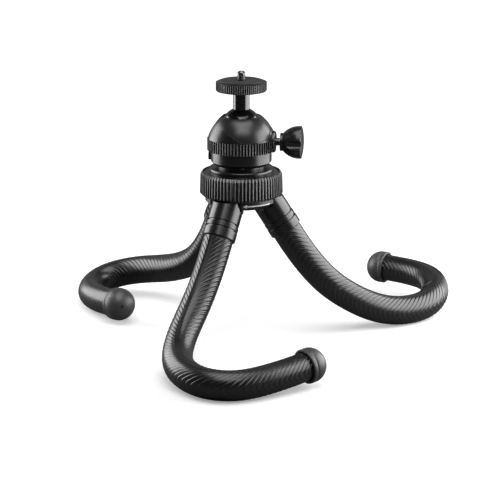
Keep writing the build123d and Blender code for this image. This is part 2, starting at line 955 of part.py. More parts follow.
with BuildPart() as hub_collar:
    with BuildSketch(Plane.XZ):
        with BuildLine():
            Polyline(
                (pan_bolt_radius + seat_gap, hub_top),
                (pan_bolt_radius + seat_gap, base_foot - seat_gap),
                (collar_boss_radius, base_foot - seat_gap),
                (collar_boss_radius, collar_top),
                (collar_lip_radius - collar_lip_round, collar_top),
            )
            RadiusArc(
                (collar_lip_radius - collar_lip_round, collar_top),
                (collar_lip_radius, collar_top - collar_lip_round),
                collar_lip_round,
            )
            Polyline(
                (collar_lip_radius, collar_top - collar_lip_round),
                (collar_lip_radius, -collar_dish_drop),
                (collar_radius, -collar_edge_drop),
                (collar_radius, hub_top),
                (pan_bolt_radius + seat_gap, hub_top),
            )
        make_face()
    revolve(axis=Axis.Z)
    with BuildSketch(Plane.XY.offset(hub_top)):
        with PolarLocations(hub_screw_circle, len(leg_azimuths), start_angle=leg_pitch / 2):
            Circle(hub_screw_radius + seat_gap)
    extrude(amount=hub_screw_grip + seat_gap, mode=Mode.SUBTRACT)
finish(hub_collar, "hub_collar")


# Lock ring

ring_shoulder = hub_top - running_gap
ring_step = -ring_step_drop
ring_upper_bore = hub_upper_radius + running_gap
ring_lower_bore = hub_radius + running_gap

with BuildPart() as lock_ring:
    with BuildSketch(Plane.XZ):
        with BuildLine():
            Polyline(
                (ring_recess_radius, -ring_top_drop),
                (ring_radius - ring_top_chamfer_width, -ring_top_drop),
                (ring_radius, -ring_top_drop - ring_top_chamfer),
                (ring_foot_radius, ring_foot + ring_foot_chamfer),
                (ring_foot_radius - ring_foot_chamfer, ring_foot),
                (ring_lower_bore, ring_foot),
                (ring_lower_bore, ring_step),
                (ring_upper_bore, ring_step),
                (ring_upper_bore, ring_shoulder),
                (ring_recess_radius, ring_shoulder),
                close=True,
            )
        make_face()
    revolve(axis=Axis.Z)
    with BuildSketch(Plane.XY.offset(ring_foot)):
        make_face(tooth_outline(ring_foot_radius, ring_tooth_depth, ring_teeth))
    extrude(amount=ring_foot_drop - ring_top_drop, mode=Mode.INTERSECT)
finish(lock_ring, "lock_ring")


# Hub body with its three lugs

hinge_level = -hinge_drop
lug_half = lug_width / 2
hub_well_top = hub_foot + hub_well_depth
ferrule_top = ring_foot - tab_gap
pocket_reach = tab_reach - tab_gap
pocket_half = max(ferrule_radii) + tab_gap
pocket_depth = ferrule_top + part_gap - hub_foot

with BuildPart() as hub_body:
    with BuildSketch(Plane.XZ):
        with BuildLine():
            Polyline(
                (0, hub_well_top),
                (0, hub_top),
                (hub_upper_radius, hub_top),
                (hub_upper_radius, ring_step - running_gap),
                (hub_radius, ring_step - running_gap),
                (hub_radius, hub_foot + hub_foot_chamfer),
                (hub_radius - hub_foot_chamfer, hub_foot),
                (hub_well_radius, hub_foot),
                (hub_well_radius, hub_well_top),
                close=True,
            )
        make_face()
    revolve(axis=Axis.Z)
    with BuildSketch(Plane.XY.offset(hub_top)):
        Circle(pan_bolt_radius + seat_gap)
    extrude(amount=-pan_bolt_grip - seat_gap, mode=Mode.SUBTRACT)
    for azimuth in leg_azimuths:
        with BuildSketch(side_plane(azimuth)):
            with Locations((pocket_reach + hub_radius / 2, hub_foot + pocket_depth / 2 - overrun / 2)):
                Rectangle(hub_radius, pocket_depth + overrun)
        extrude(amount=pocket_half, both=True, mode=Mode.SUBTRACT)
        with BuildSketch(side_plane(azimuth)):
            with Locations((hinge_reach, hinge_level)):
                Circle(lug_radius)
            with Locations((hinge_reach, (hinge_level + hub_foot) / 2)):
                Rectangle(2 * lug_radius, hub_foot - hinge_level)
        extrude(amount=lug_half, both=True)
        with BuildSketch(side_plane(azimuth)):
            with Locations((hinge_reach, hinge_level)):
                Circle(hinge_pin_radius + seat_gap)
        extrude(amount=lug_half + overrun, both=True, mode=Mode.SUBTRACT)
    with BuildSketch(Plane.XY.offset(hub_foot)):
        with PolarLocations(hub_screw_circle, len(leg_azimuths), start_angle=leg_pitch / 2):
            Circle(hub_screw_radius + seat_gap)
    extrude(amount=hub_foot_drop - hub_top_drop, mode=Mode.SUBTRACT)
    with BuildSketch(Plane.XY.offset(hub_foot)):
        with PolarLocations(hub_screw_circle, len(leg_azimuths), start_angle=leg_pitch / 2):
            Circle(hub_screw_head_radius + seat_gap)
    extrude(amount=hub_screw_head + seat_gap, mode=Mode.SUBTRACT)
finish(hub_body, "hub_body")

with BuildPart() as hub_screws:
    with BuildSketch(Plane.XY.offset(hub_foot + seat_gap)):
        with PolarLocations(hub_screw_circle, len(leg_azimuths), start_angle=leg_pitch / 2):
            Circle(hub_screw_head_radius)
    extrude(amount=hub_screw_head)
    with BuildSketch(Plane.XY.offset(hub_foot + seat_gap)):
        with PolarLocations(hub_screw_circle, len(leg_azimuths), start_angle=leg_pitch / 2):
            Circle(hub_screw_radius)
    extrude(amount=hub_top + hub_screw_grip - hub_foot - seat_gap)
finish(hub_screws, "hub_screws")

with BuildPart() as hub_cover:
    with BuildSketch(Plane.XY.offset(hub_foot - hub_cover_thickness)):
        Circle(hub_cover_radius)
    extrude(amount=hub_cover_thickness)
    with BuildSketch(Plane.XY.offset(hub_foot)):
        Circle(hub_well_radius - seat_gap)
    extrude(amount=hub_cover_spigot)
finish(hub_cover, "hub_cover")


# Turning mark, a raised arrow on the hub's skirt

arrow_level = -arrow_drop
arrow_head_middle = arrow_from + arrow_head_turn / 2
arrow_outward = radial(arrow_head_middle)
arrow_chord = 2 * hub_radius * sin(radians(arrow_head_turn / 2))
arrow_origin = arrow_outward * (hub_radius / 2) + up * arrow_level


def skirt_start(azimuth):
    """Upright plane at an azimuth, turned so that a revolve runs anticlockwise."""
    return Plane(origin=(0, 0, 0), x_dir=radial(azimuth), z_dir=radial(azimuth).cross(up))


with BuildPart() as arrow_head:
    with BuildSketch(skirt_start(arrow_from)):
        with Locations((hub_radius + arrow_relief / 2, arrow_level)):
            Rectangle(arrow_relief, arrow_head_height)
    revolve(axis=Axis.Z, revolution_arc=arrow_head_turn)
    with BuildSketch(Plane(origin=arrow_origin, x_dir=sideways(arrow_head_middle), z_dir=arrow_outward)):
        with BuildLine():
            Polyline(
                (-arrow_chord / 2, 0),
                (arrow_chord / 2, arrow_head_height / 2),
                (arrow_chord / 2, -arrow_head_height / 2),
                close=True,
            )
        make_face()
    extrude(amount=hub_radius, mode=Mode.INTERSECT)

with BuildPart() as turn_arrow:
    with BuildSketch(skirt_start(arrow_head_middle)):
        with Locations((hub_radius + arrow_relief / 2, arrow_level)):
            Rectangle(arrow_relief, arrow_height)
    revolve(axis=Axis.Z, revolution_arc=arrow_to - arrow_head_middle)
    add(arrow_head.part)
finish(turn_arrow, "turn_arrow")


# Ferrules and their hinge pins

pin_half = sqrt(ferrule_radii[0] ** 2 - axis_offset**2) - part_gap
counterbore = sleeve_radius + running_gap
stud_neck_end = chain_start - height_on(link_ball_radius, link_neck_radius)
slot_radius = lug_radius + lug_slot_side
ferrule_rise = hinge_drop - ring_foot_drop + overrun


def groove_points(station, before, after):
    """Outline of a groove between two bands of a ferrule."""
    half = ferrule_groove_width / 2
    floor = min(before, after) - ferrule_groove_depth
    return [(station - half, before), (station - half, floor), (station + half, floor), (station + half, after)]


def ferrule_outline():
    """Half section of a ferrule with its ball stud: x runs down the leg, y is the radius."""
    upper, middle, lower = ferrule_radii
    first, second = ferrule_grooves
    seat_floor = ferrule_length - ferrule_seat
    top = -2 * ferrule_rise
    with BuildLine() as outline:
        Polyline(
            (top, 0),
            (top, upper),
            *groove_points(first, upper, middle),
            *groove_points(second, middle, lower),
            (ferrule_length - ferrule_chamfer, lower),
            (ferrule_length, lower - ferrule_chamfer),
            (ferrule_length, counterbore),
            (seat_floor, counterbore),
            (seat_floor, sleeve_bore),
            (ferrule_chamber, sleeve_bore),
            (ferrule_chamber, link_neck_radius),
            (stud_neck_end, link_neck_radius),
        )
        ThreePointArc(
            (stud_neck_end, link_neck_radius),
            (chain_start, link_ball_radius),
            (chain_start + link_ball_radius, 0),
        )
        Line((chain_start + link_ball_radius, 0), (top, 0))
    return outline.edges()


def build_ferrule(route, name):
    """Ferrule with the cuts that let it turn about its hinge under the hub."""
    azimuth = route.azimuth
    far = 2 * hub_radius
    wide = 2 * pocket_half
    outline = ferrule_outline()
    hinge_point = radial(azimuth) * hinge_reach + up * hinge_level
    hinge_plane = Plane(origin=hinge_point, x_dir=route.down, z_dir=route.side(0))
    with BuildPart() as ferrule:
        with BuildSketch(route.profile(0)):
            make_face(outline)
        revolve(axis=route.axis(0))
        with BuildSketch(side_plane(azimuth)):
            with Locations((hinge_reach, ferrule_top + far / 2)):
                Rectangle(2 * far, far)
            with Locations((tab_reach - far / 2, hub_foot - tab_gap + far / 2)):
                Rectangle(far, far)
        extrude(amount=wide, both=True, mode=Mode.SUBTRACT)
        with BuildSketch(hinge_plane):
            with Locations((-hinge_cut - far / 2, -far / 2)):
                Rectangle(far, far)
        extrude(amount=wide, both=True, mode=Mode.SUBTRACT)
        with BuildSketch(side_plane(azimuth)):
            with Locations((hinge_reach, hinge_level)):
                Circle(slot_radius)
            with Locations((hinge_reach + slot_radius - far / 2, hinge_level + far / 2 - lug_radius / 2)):
                Rectangle(far, far)
        extrude(amount=lug_half + lug_slot_side, both=True, mode=Mode.SUBTRACT)
        with BuildSketch(side_plane(azimuth)):
            with Locations((hinge_reach, hinge_level)):
                Circle(hinge_pin_radius + running_gap)
        extrude(amount=wide, both=True, mode=Mode.SUBTRACT)
    finish(ferrule, f"{name}_ferrule")


with BuildPart() as leg_pins:
    for azimuth in leg_azimuths:
        with BuildSketch(side_plane(azimuth)):
            with Locations((hinge_reach, hinge_level)):
                Circle(hinge_pin_radius)
        extrude(amount=pin_half, both=True)
finish(leg_pins, "leg_pins")


# Chain links, sleeves and foot caps

socket_bore = link_ball_radius + running_gap
socket_radius = socket_bore + link_wall
ground_width = 3 * foot_reach


def link_outline(reach):
    """Half section of a link: socket round the origin, ball at the reach along x."""
    mouth = -link_mouth
    neck_start = height_on(socket_radius, link_neck_radius)
    neck_end = reach - height_on(link_ball_radius, link_neck_radius)
    with BuildLine() as outline:
        ThreePointArc(
            (mouth, height_on(socket_bore, link_mouth)),
            (0, socket_bore),
            (socket_bore, 0),
        )
        Line((socket_bore, 0), (reach + link_ball_radius, 0))
        ThreePointArc(
            (reach + link_ball_radius, 0),
            (reach, link_ball_radius),
            (neck_end, link_neck_radius),
        )
        Line((neck_end, link_neck_radius), (neck_start, link_neck_radius))
        ThreePointArc(
            (neck_start, link_neck_radius),
            (0, socket_radius),
            (mouth, height_on(socket_radius, link_mouth)),
        )
        Line(
            (mouth, height_on(socket_radius, link_mouth)),
            (mouth, height_on(socket_bore, link_mouth)),
        )
    return outline.edges()


def build_links(route, group, name):
    """The links between two flexing joints, each a solid of its own."""
    with BuildPart() as links:
        for index in range(links_between):
            start = route.point(route.joint_station(group) + index * route.link_pitch)
            end = route.point(route.joint_station(group) + (index + 1) * route.link_pitch)
            direction = (end - start).normalized()
            side = direction.cross(up).normalized()
            outline = link_outline((end - start).length)
            with BuildSketch(axis_plane(start, direction, side)):
                make_face(outline)
            revolve(axis=Axis(start, direction))
    finish(links, f"{name}_links_{group + 1}")


def side_circles(route, start, end):
    """Stations and radii of the outer circles along a sleeve's side."""
    run = (end - start) / (sleeve_stations - 1)
    stations = [start + index * run for index in range(sleeve_stations)]
    return [(station, route.sleeve_radius(station)) for station in stations]


def sleeve_circles(route, group):
    """Outer circles of one sleeve piece from its upper end to its lower joint or foot."""
    joint = route.joint_station(group)
    cup_radius = route.sleeve_radius(joint) + part_gap
    if group == 0:
        collar_end = ferrule_length + part_gap
        head = [(ferrule_length - ferrule_seat + seat_gap, sleeve_radius), (collar_end, sleeve_radius)]
        start = collar_end + part_gap
    else:
        start = joint + cup_radius * sin(radians(cup_latitude))
        head = []
    if group == joint_count:
        end = route.length - cap_seat - seat_gap - cap_skirt
        foot = route.length - cap_seat - seat_gap
        tail = [(end, route.sleeve_radius(foot)), (foot, route.sleeve_radius(foot))]
    else:
        end = route.joint_station(group + 1)
        tail = [(end, route.sleeve_radius(end))]
    return head + side_circles(route, start, end - seat_gap) + tail


def zone_outline(radius):
    """Half section of the ball-shaped end of a sleeve piece at a joint."""
    tip = polar(radius, 90 - zone_latitude)
    middle = polar(radius, 90 - zone_latitude / 2)
    with BuildLine() as outline:
        ThreePointArc((0, radius), middle, tip)
        Polyline(tip, (tip[0], min(zone_bore, tip[1] - seat_gap)), (0, sleeve_bore), (0, radius))
    return outline.edges()


def half_disc(radius):
    """Half section of the half ball that clears the end of the sleeve piece above."""
    with BuildLine() as outline:
        ThreePointArc((0, radius), polar(radius, circle_turn / 8), (radius, 0))
        Polyline((radius, 0), (0, 0), (0, radius))
    return outline.edges()


def sleeve_bore_part(route, first, last):
    """Round space along the middle of a sleeve piece."""
    run = (last - first) / (sleeve_stations - 1)
    with BuildPart() as bore:
        for index in range(sleeve_stations):
            with BuildSketch(route.section(first + index * run)):
                Circle(sleeve_bore)
        loft(ruled=True)
    return bore.part


def build_sleeve(route, group, name):
    """One piece of a leg's rubber sleeve, hollow around the links."""
    circles = sleeve_circles(route, group)
    first, last = circles[0][0], circles[-1][0]
    joint = route.joint_station(group)
    bore = sleeve_bore_part(route, first, last)
    cup = half_disc(route.sleeve_radius(joint) + part_gap)
    zone = zone_outline(route.sleeve_radius(last))
    with BuildPart() as sleeve:
        for station, radius in circles:
            with BuildSketch(route.section(station)):
                Circle(radius)
        loft(ruled=True)
        if group > 0:
            with BuildSketch(route.profile(joint)):
                make_face(cup)
            revolve(axis=route.axis(joint), mode=Mode.SUBTRACT)
        add(bore, mode=Mode.SUBTRACT)
        if group < joint_count:
            with BuildSketch(route.profile(last)):
                make_face(zone)
            revolve(axis=route.axis(last))
        with Locations((0, 0, floor_level - foot_reach)):
            Box(ground_width, ground_width, 2 * foot_reach, mode=Mode.SUBTRACT)
    finish(sleeve, f"{name}_sleeve_{group + 1}")


def cap_outline(route):
    """Half section of a foot cap with the socket for the last link."""
    foot_radius = route.sleeve_radius(route.length) + part_gap
    ball = -chain_end_setback
    mouth = ball - link_mouth
    dome_rise = cap_radius * cap_dome_share
    with BuildLine() as outline:
        ThreePointArc(
            (mouth, height_on(socket_bore, link_mouth)),
            (ball, socket_bore),
            (ball + socket_bore, 0),
        )
        Line((ball + socket_bore, 0), (dome_rise, 0))
        ThreePointArc(
            (dome_rise, 0),
            (dome_rise * sin(pi / 4), cap_radius * sin(pi / 4)),
            (0, cap_radius),
        )
        Polyline(
            (0, cap_radius),
            (-cap_skirt + cap_rim_chamfer, cap_radius),
            (-cap_skirt, cap_radius - cap_rim_chamfer),
            (-cap_skirt, foot_radius),
            (-cap_seat, foot_radius),
            (-cap_seat, socket_radius),
            (mouth, socket_radius),
            (mouth, height_on(socket_bore, link_mouth)),
        )
    return outline.edges()


def build_cap(route, name):
    """Foot cap at the end of a leg, with a small vent beside its middle."""
    end = route.length
    direction = route.direction(end)
    vent = route.point(end) + direction * cap_radius + route.side(end) * vent_offset
    outline = cap_outline(route)
    with BuildPart() as cap:
        with BuildSketch(route.profile(end)):
            make_face(outline)
        revolve(axis=route.axis(end))
        with BuildSketch(Plane(origin=vent, z_dir=direction)):
            Circle(vent_radius)
        extrude(amount=-vent_depth - cap_radius * (1 - cap_dome_share), mode=Mode.SUBTRACT)
    finish(cap, f"{name}_foot_cap")


for route, leg_name in zip(routes, leg_names):
    build_ferrule(route, leg_name)
    for group in range(joint_count + 1):
        build_links(route, group, leg_name)
        build_sleeve(route, group, leg_name)
    build_cap(route, leg_name)
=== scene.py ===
"""Looks of a flexible leg tripod with a ball head, in metres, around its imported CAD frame.

The rigid pieces keep their CAD shape and get their finishes here. The ribbed rubber of the legs,
the foot caps and the camera pad are modelled here and take the place of their plain solids.
"""

import json
from math import cos, hypot, pi, radians, sin

import bmesh
import bpy
import numpy as np
from mathutils import Matrix, Vector


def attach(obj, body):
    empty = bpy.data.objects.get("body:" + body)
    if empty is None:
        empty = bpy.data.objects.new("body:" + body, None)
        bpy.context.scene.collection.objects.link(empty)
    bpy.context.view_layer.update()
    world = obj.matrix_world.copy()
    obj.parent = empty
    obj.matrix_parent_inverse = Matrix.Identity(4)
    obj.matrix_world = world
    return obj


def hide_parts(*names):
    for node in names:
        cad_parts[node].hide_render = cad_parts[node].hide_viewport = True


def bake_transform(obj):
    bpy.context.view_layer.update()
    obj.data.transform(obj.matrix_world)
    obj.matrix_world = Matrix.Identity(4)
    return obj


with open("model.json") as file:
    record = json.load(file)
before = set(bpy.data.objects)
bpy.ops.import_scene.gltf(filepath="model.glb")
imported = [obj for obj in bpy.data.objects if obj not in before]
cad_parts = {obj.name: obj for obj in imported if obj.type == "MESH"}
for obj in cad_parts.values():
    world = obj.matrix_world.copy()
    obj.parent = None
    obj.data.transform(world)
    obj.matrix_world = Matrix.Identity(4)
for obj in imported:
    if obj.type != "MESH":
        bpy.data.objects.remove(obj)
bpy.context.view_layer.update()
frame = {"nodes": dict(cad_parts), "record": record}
mm = 0.001
tiny = 1e-6

# Camera of the photograph, which is 500 px wide
photo_width = 500
camera_focal_px = 2026
camera_middle_px = 241.3
camera_distance = 1.501
camera_height = 0.4823
camera_pitch = 15.46
camera_far = 30
sensor_width = 36

# Finishes. Blotches and smears have a size and the shares of the lightness or roughness that they
# run between; grain has a size and a height.
plain_ior = 1.5
coating_ior = 1.65
plastic_ior = 1.6
rubber_ior = 1.65
rounding_samples = 6
blotch_detail = 3.0
smear_detail = 4.0
grain_detail = 2.0
blotch_run_shares = (0.35, 0.65)
smear_run_shares = (0.3, 0.7)
edge_wear_and_highlight_run_shares = (1.0, 0.8)
metal_blotch = 9 * mm
metal_blotch_shares = (0.85, 1.2)
metal_smear = 12 * mm
metal_smear_shares = (0.88, 1.12)
metal_grain = 0.35 * mm
metal_grain_height = 0.006 * mm
metal_rounding = 0.15 * mm
# The lighter edges of the metals are partly wear and partly a painted highlight
metal_edge_wear_and_highlight_radius = 0.21 * mm
metal_edge_wear_and_highlight_lightness = 0.05
ball_edge_wear_and_highlight_lightness = 0.02
plastic_blotch = 6 * mm
plastic_blotch_shares = (0.85, 1.2)
plastic_smear = 8 * mm
plastic_smear_shares = (0.9, 1.1)
plastic_grain = 0.25 * mm
plastic_grain_height = 0.012 * mm
plastic_rounding = 0.3 * mm
rubber_blotch = 7 * mm
rubber_blotch_shares = (0.8, 1.25)
rubber_smear = 10 * mm
rubber_smear_shares = (0.9, 1.12)
rubber_grain = 0.3 * mm
sleeve_grain_height = 0.010 * mm
cap_grain_height = 0.016 * mm
pad_grain_height = 0.02 * mm
steel_blotch = 2 * mm
steel_blotch_shares = (0.75, 1.3)
steel_smear = 3 * mm
steel_smear_shares = (0.85, 1.15)
steel_grain = 0.12 * mm
steel_grain_height = 0.006 * mm
steel_grain_stretch = (0.3, 0.3, 4)
steel_rounding = 0.12 * mm
mark_blotch = 0.6 * mm
mark_blotch_shares = (0.85, 1.075)
mark_grain = 0.15 * mm
mark_grain_height = 0.01 * mm

# Straight teeth round the plate, band and ring, as in the CAD model: their number, the radius
# that they lie outside of, the level that they lie under, and the height of their round crests
crest_middle_share = 0.21
# Lightness of the painted highlight on the crests of the teeth
crest_highlight_lightness = 0.06
plate_teeth = (72, 18.6 * mm, 0.0 * mm, 0.30 * mm)
band_teeth = (70, 25.1 * mm, -44.1 * mm, 0.42 * mm)
ring_teeth = (72, 29.6 * mm, 0.0 * mm, 0.48 * mm)

# Studio. A light has its place, its target, its width and height, and the brightness of its face.
surroundings = 0.04
floor_size = 8.0
floor_drop = 0.05 * mm
floor_bounce = 0.12
floor_roughness = 0.9
floor_blotch = 60 * mm
floor_blotch_shares = (1.0, 1.02)
paper_lightness = 0.8
glow_near = 0.3
glow_fade = (0.3, 1.0)
head_middle = (0, 0, -0.05)
lights = {
    "back": ((0.0, 2.0, 0.7), head_middle, (5.0, 1.6), 0.2),
    "card_right": ((0.45, 0.06, 0.03), (0, 0.06, 0.03), (0.62, 0.44), 5.2),
    "card_left": ((-0.45, 0.2, 0.03), (0, 0.2, 0.03), (0.40, 0.44), 5.2),
    "top": ((0.1, -0.2, 1.4), head_middle, (1.3, 1.0), 3.0),
    "front": ((0.15, -0.9, 1.05), head_middle, (1.1, 0.5), 3.0),
}

# Heights and places shared with the CAD model
seat_height = 199.6 * mm
floor_level = -seat_height
hinge_reach = 15.5 * mm
hinge_drop = 97.8 * mm
leg_tilt = 32.2
axis_offset = 6.4 * mm
straight_run = 30.0 * mm
bend_lead = 36.0 * mm
foot_reach = 160.0 * mm
rest_height = 10.55 * mm
ferrule_length = 25.2 * mm
chain_start = 19.0 * mm
chain_end_setback = 7.0 * mm
joint_count = 4
leg_azimuths = (240.0, 0.0, 120.0)
leg_names = ("front", "right", "left")

# Control points of the legs' centre lines, as in the CAD model: reach and side as shares of
# foot_reach, height as a share of the leg root's height over its rest height
front_route_shares = (
    (0.545, -0.010, 0.135),
    (0.745, 0.080, 0.015),
    (0.875, 0.240, 0.005),
    (0.900, 0.420, -0.003),
    (0.770, 0.540, 0.000),
    (0.515, 0.650, 0.055),
)
right_route_shares = (
    (0.510, 0.045, 0.180),
    (0.720, 0.115, -0.005),
    (0.945, 0.240, -0.005),
    (1.000, 0.435, 0.105),
    (0.920, 0.605, 0.110),
    (0.725, 0.700, 0.120),
)
left_route_shares = (
    (0.580, 0.020, 0.200),
    (0.815, 0.085, 0.125),
    (0.950, 0.225, 0.055),
    (0.900, 0.390, -0.005),
    (0.700, 0.465, -0.005),
    (0.450, 0.435, 0.050),
)
route_shares = (front_route_shares, right_route_shares, left_route_shares)

# Ribbed rubber of the legs
sleeve_radius = 11.35 * mm
sleeve_end_radius = 10.6 * mm
taper_start_share = 0.55
sleeve_tuck = 2.5 * mm
rib_pitch = 4.15 * mm
rib_depth = 0.36 * mm
rib_phases = (0.00, 0.10, 0.19, 0.48, 0.55, 0.62, 0.90)
rib_depth_shares = (1.00, 0.06, 0.00, 0.30, 0.38, 0.44, 0.76)
fine_groove_phase = 0.55
fine_groove_depth = 0.20 * mm
fine_groove_end = 150.0 * mm
fine_groove_fade = 50.0 * mm
fine_groove_share = 0.2
chevron_rise = 15.0 * mm
chevron_round = 0.16
quarter_columns = 26
strip_middles = (-pi / 2, pi / 2)
strip_insets = (-1.0, -0.8, 0.0, 0.8, 1.0)
strip_half_start = 1.5 * mm
strip_half_end = 2.3 * mm
strip_drop = 0.12 * mm
strip_line = 0.02 * mm
blend_half = 10.0 * mm

# Foot caps
cap_radius = 12.85 * mm
cap_skirt = 4.6 * mm
cap_seat = 1.0 * mm
cap_dome_share = 0.93
cap_rim_round = 0.55 * mm
cap_bead_drop = 0.28 * mm
cap_bead_place = 1.3 * mm
cap_bead_width = 0.45 * mm
vent_radius = 0.9 * mm
vent_depth = 2.0 * mm
vent_offset = 4.2 * mm
cap_clearance = 0.3 * mm
cap_lead = 0.4 * mm
cap_sharp_angle = 40
turned_segments = 128
dome_steps = 28
rim_steps = 6
vent_segments = 32

# Camera pad
pad_radius = 16.15 * mm
pad_hole_radius = 3.475 * mm
pad_thickness = 1.2 * mm
pad_edge_round = 0.25 * mm
pad_ring_pitch = 1.15 * mm
pad_ring_depth = 0.12 * mm
pad_ring_shares = ((0.0, 0.0), (0.3, 0.0), (0.5, 1.0), (0.8, 1.0))
pad_segments = 144
pad_edge_steps = 5
pad_sharp_angle = 30


# Materials

def shade(value):
    """Neutral colour of a given lightness."""
    return (value, value, value, 1)


class Finish:
    """A neutral principled material that is built up from procedural layers."""

    def __init__(self, name, lightness, roughness, ior=plain_ior):
        self.material = bpy.data.materials.new(name)
        self.material.use_nodes = True
        self.tree = self.material.node_tree
        self.shader = self.tree.nodes["Principled BSDF"]
        self.shader.inputs["Roughness"].default_value = roughness
        self.shader.inputs["IOR"].default_value = ior
        self.lightness = lightness
        self.roughness = roughness
        self.place = self.tree.nodes.new("ShaderNodeTexCoord").outputs["Object"]
        self.normal = None

    def node(self, kind, **values):
        """A new node with its plain settings."""
        made = self.tree.nodes.new(kind)
        for key, value in values.items():
            setattr(made, key, value)
        return made

    def link(self, source, target):
        """Join an output to an input."""
        self.tree.links.new(source, target)

    def math(self, operation, *values):
        """Result of a sum on outputs or numbers."""
        made = self.node("ShaderNodeMath", operation=operation)
        for value, socket in zip(values, made.inputs):
            if isinstance(value, (int, float)):
                socket.default_value = value
            else:
                self.link(value, socket)
        return made.outputs["Value"]

    def remap(self, value, run, low, high):
        """A value that goes from low to high as another goes through a run."""
        made = self.node("ShaderNodeMapRange")
        made.inputs["From Min"].default_value, made.inputs["From Max"].default_value = run
        made.inputs["To Min"].default_value = low
        made.inputs["To Max"].default_value = high
        self.link(value, made.inputs["Value"])
        return made.outputs["Result"]

    def noise(self, size, detail, stretch=(1, 1, 1)):
        """Noise whose grain is about one size across."""
        mapping = self.node("ShaderNodeMapping")
        mapping.inputs["Scale"].default_value = stretch
        self.link(self.place, mapping.inputs["Vector"])
        noise = self.node("ShaderNodeTexNoise")
        noise.inputs["Scale"].default_value = 1 / size
        noise.inputs["Detail"].default_value = detail
        self.link(mapping.outputs["Vector"], noise.inputs["Vector"])
        return noise.outputs["Fac"]

    def mottle(self, size, shares):
        """Slow changes of the colour."""
        ramp = self.node("ShaderNodeValToRGB")
        for element, position, share in zip(ramp.color_ramp.elements, blotch_run_shares, shares):
            element.position = position
            element.color = shade(self.lightness * share)
        self.link(self.noise(size, blotch_detail), ramp.inputs["Fac"])
        self.link(ramp.outputs["Color"], self.shader.inputs["Base Color"])

    def smears(self, size, shares):
        """Slow changes of the roughness, as handling leaves."""
        low, high = (self.roughness * share for share in shares)
        wave = self.remap(self.noise(size, smear_detail), smear_run_shares, low, high)
        self.link(wave, self.shader.inputs["Roughness"])

    def rounding(self, radius):
        """Normals of the surface with its edges rounded."""
        bevel = self.node("ShaderNodeBevel", samples=rounding_samples)
        bevel.inputs["Radius"].default_value = radius
        return bevel.outputs["Normal"]

    def soften(self, radius):
        """Round the look of sharp edges."""
        self.normal = self.rounding(radius)
        self.link(self.normal, self.shader.inputs["Normal"])

    def bumps(self, value, height):
        """Raise the surface by a value's share of a height."""
        bump = self.node("ShaderNodeBump")
        bump.inputs["Distance"].default_value = height
        self.link(value, bump.inputs["Height"])
        if self.normal:
            self.link(self.normal, bump.inputs["Normal"])
        self.normal = bump.outputs["Normal"]
        self.link(self.normal, self.shader.inputs["Normal"])

    def grain(self, size, height, stretch=(1, 1, 1)):
        """Fine bumps over the surface."""
        self.bumps(self.noise(size, grain_detail, stretch), height)

    def tint(self, factor, lightness):
        """Mix a lighter colour over the base colour."""
        mix = self.node("ShaderNodeMix", data_type="RGBA")
        share, under, over = mix.inputs[0], mix.inputs[6], mix.inputs[7]
        base = self.shader.inputs["Base Color"]
        self.link(base.links[0].from_socket, under)
        over.default_value = shade(lightness)
        self.link(factor, share)
        self.link(mix.outputs[2], base)

    def teeth(self, count, inner, top, height):
        """Round crests on straight teeth that stand round the Z axis, tinted lighter as a painted
        highlight.
        """
        place = self.node("ShaderNodeSeparateXYZ")
        self.link(self.place, place.inputs["Vector"])
        x, y, z = place.outputs
        turn = self.math("ARCTAN2", y, x)
        phase = self.math("MULTIPLY_ADD", turn, count, -2 * pi * crest_middle_share)
        reach_squared = self.math("ADD", self.math("POWER", x, 2), self.math("POWER", y, 2))
        outside = self.math("GREATER_THAN", self.math("SQRT", reach_squared), inner)
        toothed = self.math("MULTIPLY", outside, self.math("LESS_THAN", z, top))
        crest = self.math("MULTIPLY", self.math("COSINE", phase), toothed)
        # Painted highlight: the crests are tinted lighter
        self.tint(self.math("MAXIMUM", crest, 0), crest_highlight_lightness)
        self.bumps(crest, height)

    def edge_wear_and_highlight(self, radius, lightness):
        """Lighter colour along the edges, partly wear and partly a painted highlight."""
        geometry = self.node("ShaderNodeNewGeometry")
        dot = self.node("ShaderNodeVectorMath", operation="DOT_PRODUCT")
        self.link(self.rounding(radius), dot.inputs[0])
        self.link(geometry.outputs["Normal"], dot.inputs[1])
        self.tint(self.remap(dot.outputs["Value"], edge_wear_and_highlight_run_shares, 0, 1), lightness)


def coated_metal(name, lightness, roughness, edge_wear_and_highlight_lightness=metal_edge_wear_and_highlight_lightness, teeth=None):
    """Black anodised or painted metal with a fine even grain."""
    finish = Finish(name, lightness, roughness, coating_ior)
    finish.mottle(metal_blotch, metal_blotch_shares)
    finish.smears(metal_smear, metal_smear_shares)
    finish.soften(metal_rounding)
    if teeth:
        # The teeth carry a painted highlight on their crests
        finish.teeth(*teeth)
    finish.grain(metal_grain, metal_grain_height)
    # Lighter edges: partly wear, partly a painted highlight
    finish.edge_wear_and_highlight(metal_edge_wear_and_highlight_radius, edge_wear_and_highlight_lightness)
    return finish.material


def moulded_plastic(name, lightness, roughness):
    """Moulded plastic with a faint spark-eroded texture."""
    finish = Finish(name, lightness, roughness, plastic_ior)
    finish.mottle(plastic_blotch, plastic_blotch_shares)
    finish.smears(plastic_smear, plastic_smear_shares)
    finish.soften(plastic_rounding)
    finish.grain(plastic_grain, plastic_grain_height)
    return finish.material


def soft_rubber(name, lightness, roughness, grain_height):
    """Matte rubber with a fine pebbled skin."""
    finish = Finish(name, lightness, roughness, rubber_ior)
    finish.mottle(rubber_blotch, rubber_blotch_shares)
    finish.smears(rubber_smear, rubber_smear_shares)
    finish.grain(rubber_grain, grain_height)
    return finish.material


